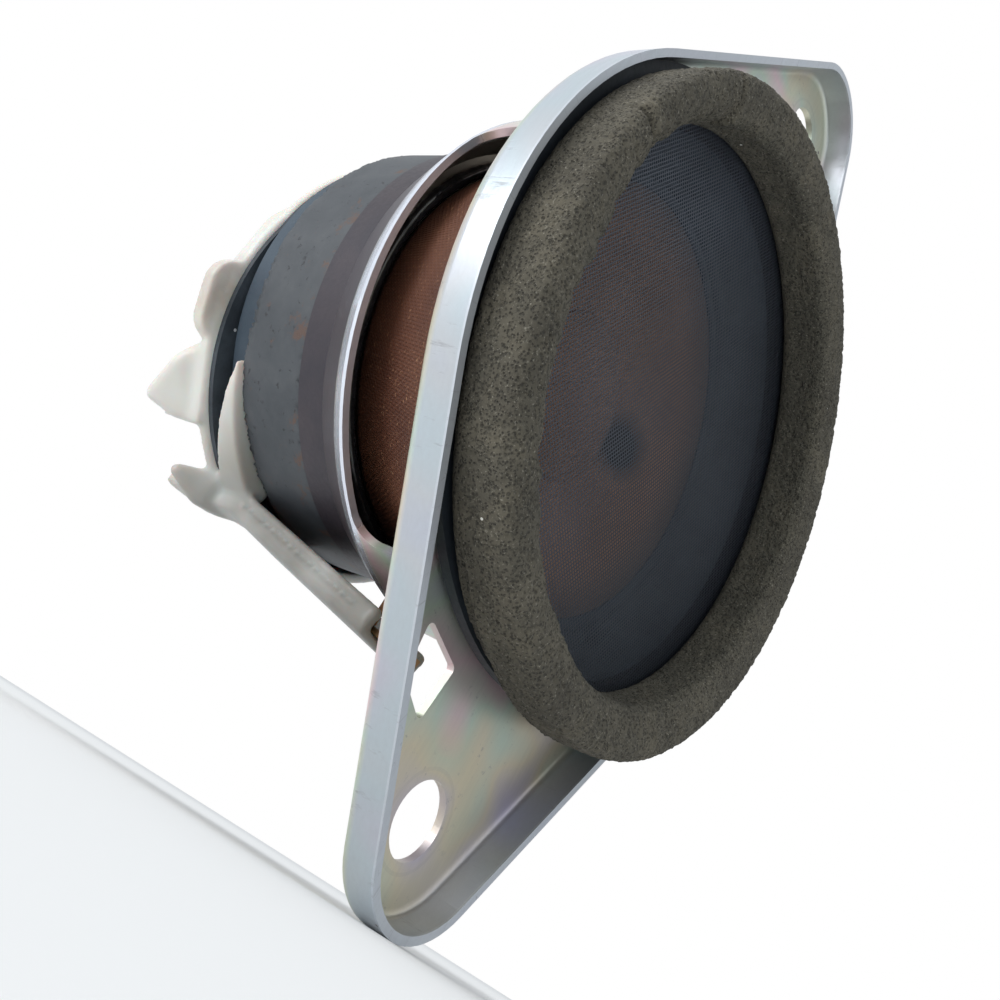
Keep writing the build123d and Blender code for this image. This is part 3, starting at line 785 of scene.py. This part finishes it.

# %% [markdown]
# ## Foam gasket
# Open-cell foam is all pores: pits painted near black as painted shade, with light walls between them, and
# the ring's inner wall painted darker as painted shade.  The ring is spun with close points, and cell noise
# pushes the points inwards where a cell opens, so the outline is rough too.  The inner front edge has worn
# away unevenly, which a slower noise makes, and two cuts across the ring show as grooves.

# %% Foam finish and ring


def foam_finish():
    material, tree, shader, place = new_finish("foam", Metallic=0.0)
    pore_masks = []
    for scale, share in ((4400.0, 0.26), (2700.0, 0.62)):
        cells = tree.add("ShaderNodeTexVoronoi", {"Vector": place, "Scale": scale})
        hole = tree.math("SUBTRACT", 1.0, tree.level(cells.outputs["Distance"], 0.12, 0.50))
        chance = tree.add("ShaderNodeSeparateColor", {"Color": cells.outputs["Color"]}).outputs["Green"]
        pore_masks.append(tree.math("MULTIPLY", hole, tree.level(chance, share - 0.08, share + 0.08)))
    pores = tree.math("MAXIMUM", *pore_masks)
    turned = use_group(tree, ROUND_AXIS, Vector=place)
    inner = tree.math("SUBTRACT", 1.0, tree.level(turned["Radius"], 0.0256, 0.0266))
    tone = tree.noise(place, 130.0, 4.0, 0.65)
    colour = tree.ramp(tone, [(0.3, (0.063, 0.056, 0.042)), (0.5, (0.085, 0.077, 0.058)),
                              (0.7, (0.114, 0.102, 0.076))])
    worn = tree.level(tree.noise(turned["Unrolled"], 260.0, 3.0, 0.6), 0.5, 0.75)
    colour = tree.blend(tree.math("MULTIPLY", worn, 0.35), colour, (0.19, 0.165, 0.115, 1.0))
    # Painted shade: the inner wall, inside about 26 mm radius, is painted darker.
    colour = tree.blend(tree.math("MULTIPLY", inner, 0.45), colour, (0.060, 0.062, 0.048, 1.0))
    # Painted shade: the pores are painted near black.
    colour = tree.blend(tree.math("MULTIPLY", pores, 0.72), colour, (0.020, 0.019, 0.015, 1.0))
    fine = tree.noise(place, 5200.0, 2.0, 0.6)
    colour = tree.blend(tree.level(fine, 0.60, 0.78), colour, (0.26, 0.245, 0.20, 1.0))
    dust = use_group(tree, SPECKS, Vector=place, Scale=600.0, Amount=0.03)["Mask"]
    tree.feed(shader, "Base Color", tree.blend(dust, colour, (0.62, 0.61, 0.56, 1.0)))
    tree.feed(shader, "Roughness", tree.math("ADD", tree.math("MULTIPLY", tone, 0.1), 0.85))
    height = tree.math("SUBTRACT", tree.math("MULTIPLY", fine, 0.35), pores)
    add_bump(tree, shader, height, 0.00016, 0.9)
    return material


low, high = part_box("foam_gasket")
FOAM_X = (low.x + high.x) / 2
FOAM_IN, FOAM_OUT = 25.9 * MM, (high.x - low.x) / 2
FLANGE_X, TRAY_R = -2.1 * MM, 29.3 * MM
LIP_FRONT = -3.8 * MM
foam_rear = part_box("dust_screen")[0].y
corners = [(FOAM_IN, low.y), (FOAM_OUT, low.y), (FOAM_OUT, foam_rear), (FOAM_IN, foam_rear)]
foam = turned_mesh(even_outline(rounded_outline(corners, 1.3 * MM, 6), 0.2 * MM), 900)
SEAMS = (radians(-79.5), radians(-49.0))
for vert in foam.verts:
    radius = hypot(vert.co.x, vert.co.z)
    outward = Vector((vert.co.x / radius, 0, vert.co.z / radius))
    angle = atan2(vert.co.x, vert.co.z)
    front = max(0.0, 1 - (vert.co.y - low.y) / (3.2 * MM))
    inside = max(0.0, 1 - (radius - FOAM_IN) / (2.2 * MM))
    outside = max(0.0, min(1.0, (radius - FOAM_IN) / (3.0 * MM)))
    rough = noise.noise(vert.co * 1900) + 0.7 * noise.noise(vert.co * 3900)
    pit = max(0.0, noise.cell_vector(vert.co * 3300).x - 0.62)
    from_middle = Vector((radius - (FOAM_IN + FOAM_OUT) / 2, vert.co.y - (low.y + high.y) / 2)).normalized()
    away_from_screen = max(0.0, min(1.0, (foam_rear - vert.co.y) / (1.0 * MM)))
    push = from_middle * (0.10 * rough + 0.34 * pit) * MM * away_from_screen
    bite = max(0.0, noise.noise(Vector((sin(angle) * 3.1, cos(angle) * 3.1, 4.0))) + 0.25)
    nibble = noise.noise(Vector((sin(angle) * 15.0, cos(angle) * 15.0, 2.0)))
    nibble += 0.6 * noise.noise(Vector((sin(angle) * 38.0, cos(angle) * 38.0, 7.0)))
    left_side = max(0.0, -sin(angle + 0.15))
    between_seams = 1.0 if SEAMS[0] < angle < SEAMS[1] else 0.0
    worn = front * inside * (left_side * (1.4 * bite + 0.75 * nibble) - 0.9 * between_seams)
    groove = sum(max(0.0, 1 - abs(angle - seam) * radius / (0.40 * MM)) for seam in SEAMS)
    vert.co -= outward * (push.x + worn * MM)
    vert.co.y -= push.y
    vert.co.y += (front * inside * (0.5 + 0.5 * left_side) * 0.9 + front * groove * 0.8) * MM
    vert.co.x += FOAM_X * outside
    past_tray = hypot(vert.co.x - FLANGE_X, vert.co.z) > TRAY_R
    if past_tray and vert.co.y > LIP_FRONT - 0.1 * MM:
        vert.co.y = LIP_FRONT - 0.1 * MM
FOAM = foam_finish()
foam_ring = place_piece("foam_ring", foam, FOAM, "frame", "foam_gasket", slot="foam")

# %% [markdown]
# ## The bead of glue
# The band's rear edge is set in black adhesive that ran before it cured.  The bead is a spun ring that swells
# and shrinks along its length, and it is the glossiest thing on the object.

# %% Glue bead
low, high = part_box("cloth_bead")
BEAD_R = 22.0 * MM
BEAD_SIZE = 0.62 * MM
BEAD_Y = high.y - BEAD_SIZE * 0.85
SIDES = 14
circle = [(BEAD_R + BEAD_SIZE * cos(2 * pi * i / SIDES), BEAD_Y + BEAD_SIZE * sin(2 * pi * i / SIDES))
          for i in range(SIDES)]
bead = turned_mesh(circle + [circle[0]], 480)
for vert in bead.verts:
    radius = hypot(vert.co.x, vert.co.z)
    angle = atan2(vert.co.x, vert.co.z)
    slow = noise.noise(Vector((sin(angle) * 9, cos(angle) * 9, 0)))
    drip = max(0.0, noise.noise(Vector((sin(angle) * 26, cos(angle) * 26, 5))))
    swell = 0.16 * slow + 0.22 * drip
    middle = Vector((vert.co.x / radius * BEAD_R, BEAD_Y, vert.co.z / radius * BEAD_R))
    vert.co = middle + (vert.co - middle) * (1 + swell)
    vert.co.y = min(vert.co.y, high.y)


def glue_finish():
    material, tree, shader, place = new_finish("black glue", Metallic=0.0, Coat_Roughness=0.05)
    wet = tree.noise(place, 700.0, 3.0)
    tree.feed(shader, "Base Color", tree.blend(wet, (0.006, 0.007, 0.009, 1.0), (0.020, 0.021, 0.025, 1.0)))
    tree.feed(shader, "Roughness", tree.math("ADD", tree.math("MULTIPLY", wet, 0.15), 0.08))
    tree.feed(shader, "Coat Weight", tree.level(wet, 0.3, 0.7))
    add_bump(tree, shader, wet, 0.00012, 0.5)
    return material


place_piece("glue_bead", bead, glue_finish(), "frame", "cloth_bead", slot="sealing_glue")

# %% [markdown]
# ## White rear housing
# Natural nylon lets some light into its surface, so it looks milky and its thin edges glow.  Its corners are
# rounded by the mould.  The CAD node is merged into one skin and its horn and eyelet are lowered.  Rounded
# hulls thicken the horn, the hook and the cap, and a tapering tongue closes the skirt round the yoke.  A
# voxel grid then makes one even skin of all of them, and smoothing it rounds the corners as a mould does.

# %% Housing finish and shapes
EYELET_AT = (-20.0 * MM, 36.0 * MM, -9.2 * MM)


def nylon_finish():
    material, tree, shader, place = new_finish(
        "white nylon", Metallic=0.0, Subsurface_Weight=0.35, Subsurface_Scale=0.0015)
    aged = tree.noise(place, 55.0, 3.0, 0.6)
    fine = tree.noise(place, 1600.0, 3.0)
    colour = tree.blend(tree.level(aged, 0.38, 0.7), (0.70, 0.71, 0.69, 1.0), (0.64, 0.60, 0.51, 1.0))
    links = {0: place, 1: EYELET_AT}
    near_eyelet = tree.add("ShaderNodeVectorMath", links, operation="DISTANCE").outputs["Value"]
    smear = tree.math("ADD", near_eyelet, tree.math("MULTIPLY", tree.noise(place, 420.0), 0.003))
    brown = tree.math("SUBTRACT", 1.0, tree.level(smear, 0.0030, 0.0062))
    colour = tree.blend(tree.math("MULTIPLY", brown, 0.65), colour, (0.34, 0.23, 0.15, 1.0))
    split = tree.add("ShaderNodeSeparateXYZ", {"Vector": place}).outputs
    # Painted shade: the moulding is painted darker grey towards its bottom, more so further forward, broken
    # up by the ageing noise.
    reach = tree.math("MULTIPLY_ADD", split["Y"], 0.55, split["Z"])
    painted_underside_shade = tree.math("SUBTRACT", 1.0, tree.level(reach, -0.0085, -0.0005))
    painted_underside_shade = tree.math("MULTIPLY", painted_underside_shade, tree.level(aged, 0.05, 0.55))
    colour = tree.blend(tree.math("MULTIPLY", painted_underside_shade, 0.85), colour, (0.135, 0.13, 0.118, 1.0))
    specks = use_group(tree, SPECKS, Vector=place, Scale=300.0, Amount=0.02)["Mask"]
    tree.feed(shader, "Base Color", tree.blend(specks, colour, (0.45, 0.40, 0.34, 1.0)))
    tree.feed(shader, "Roughness", tree.math("ADD", tree.math("MULTIPLY", fine, 0.15), 0.34))
    add_bump(tree, shader, fine, 0.00003, 0.4)
    return material


NYLON = nylon_finish()


def unit_ball():
    """The points of a ball of radius 1."""
    ball = bmesh.new()
    bmesh.ops.create_icosphere(ball, subdivisions=2, radius=1.0)
    points = [vert.co.copy() for vert in ball.verts]
    ball.free()
    return points


def hull_of_balls(*balls):
    """Add the skin stretched over some balls, each (x, y, z, radius) in mm, to the housing."""
    points = [housing.verts.new((Vector((x, y, z)) + spot * radius) * MM)
              for x, y, z, radius in balls for spot in UNIT_BALL]
    bmesh.ops.convex_hull(housing, input=points)
    bmesh.ops.delete(housing, geom=[v for v in housing.verts if not v.link_faces], context="VERTS")


def skirt_tongue(first, last, height, front):
    """Add the part of the skirt that tapers away up the side, as a strip of box sections round the yoke."""
    rows = []
    for i in range(SECTIONS + 1):
        angle = radians(first + (last - first) * i / SECTIONS)
        outer = Vector((LOBE_R * sin(angle), LOBE_R * cos(angle) - LOBE_DROP))
        inner = outer.normalized() * (YOKE_R + 0.15 * MM)
        rear = front + height * max(0.04, 1 - i / SECTIONS) ** 0.7
        rows.append([housing.verts.new((spot.x, y, spot.y))
                     for spot, y in ((inner, front), (outer, front), (outer, rear), (inner, rear))])
    for this, following in zip(rows, rows[1:]):
        for k in range(4):
            housing.faces.new((this[k], this[(k + 1) % 4], following[(k + 1) % 4], following[k]))
    housing.faces.new(rows[0][::-1])
    housing.faces.new(rows[-1])


# %% Rear moulding
UNIT_BALL = unit_ball()
SECTIONS = 24
YOKE_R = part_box("yoke")[1].x
LOBE_R, LOBE_DROP = 22.0 * MM, 3.0 * MM
housing = bmesh.new()
housing.from_mesh(NODES["rear_housing"].data)
bmesh.ops.remove_doubles(housing, verts=housing.verts, dist=2e-6)
CAP_REAR = 35.4 * MM
DOME_X, DOME_Z, CLEAR_OF_DOME = -4.5 * MM, 2.5 * MM, 12.6 * MM
for vert in housing.verts:
    beside_dome = hypot(vert.co.x - DOME_X, vert.co.z - DOME_Z) > CLEAR_OF_DOME and vert.co.x < -12 * MM
    if beside_dome and vert.co.y > CAP_REAR:
        vert.co.y = CAP_REAR + (vert.co.y - CAP_REAR) * 0.5
skirt_tongue(196, 236, 4.7 * MM, 29.5 * MM)
shoulder_high, shoulder_low = (-18.0, 37.3, -16.6, 0.9), (-14.8, 37.4, -20.1, 0.9)
hull_of_balls((-17.6, 36.2, -14.8, 1.0), (-13.8, 36.0, -19.4, 1.2), shoulder_high, shoulder_low)
hull_of_balls(shoulder_high, shoulder_low, (-16.6, 39.4, -19.8, 1.0))
hull_of_balls((-19.2, 36.2, -5.8, 2.2), (-19.4, 36.2, 0.3, 2.2), (-18.2, 36.2, 3.6, 2.2),
              (-13.0, 36.6, 8.0, 2.0), (-12.0, 36.6, -2.0, 2.0))
hull_of_balls((-11.2, 36.4, -24.6, 0.7), (-8.0, 34.8, -25.5, 1.0), (-8.2, 34.6, -23.4, 1.0),
              (-5.0, 34.4, -24.8, 1.0))
bmesh.ops.recalc_face_normals(housing, faces=housing.faces)
rough_mesh = bpy.data.meshes.new("moulding blank")
housing.to_mesh(rough_mesh)
housing.free()
blank = bpy.data.objects.new("moulding blank", rough_mesh)
bpy.context.scene.collection.objects.link(blank)
grid = blank.modifiers.new("grid", "REMESH")
grid.mode = "VOXEL"
grid.voxel_size = 0.29 * MM
skin = blank.evaluated_get(bpy.context.evaluated_depsgraph_get()).to_mesh()
moulding = bmesh.new()
moulding.from_mesh(skin)
bpy.data.objects.remove(blank)
# The lowest z that the moulding reaches behind the motor, as (x, z) in mm.
UNDERSIDE = ((-14.0, -26.3), (-9.0, -26.4), (-5.5, -25.7), (-2.3, -24.4), (1.8, -23.9))
for vert in moulding.verts:
    x, y, z = (value / MM for value in vert.co)
    if y > 30.5 and z < -20:
        lowest = UNDERSIDE[0][1] if x < UNDERSIDE[0][0] else UNDERSIDE[-1][1]
        for (x0, z0), (x1, z1) in zip(UNDERSIDE, UNDERSIDE[1:]):
            if x0 <= x < x1:
                lowest = z0 + (z1 - z0) * (x - x0) / (x1 - x0)
        vert.co.z = max(vert.co.z, lowest * MM)
    if y < 34.0 and hypot(x, z) < 22.0 and z > -16:
        vert.co.y = max(vert.co.y, 34.05 * MM)
SMOOTHING_PASSES = 5
for _ in range(SMOOTHING_PASSES):
    bmesh.ops.smooth_vert(moulding, verts=moulding.verts, factor=0.5, use_axis_x=True, use_axis_y=True,
                          use_axis_z=True)
bmesh.ops.triangulate(moulding, faces=moulding.faces)
place_piece("rear_moulding", moulding, NYLON, "frame", "rear_housing", slot="white_nylon")
finish_node("capacitor", soft_black("resin dip", (0.42, 0.13, 0.03), (0.52, 0.18, 0.05), 0.25, 260.0, 3e-5))
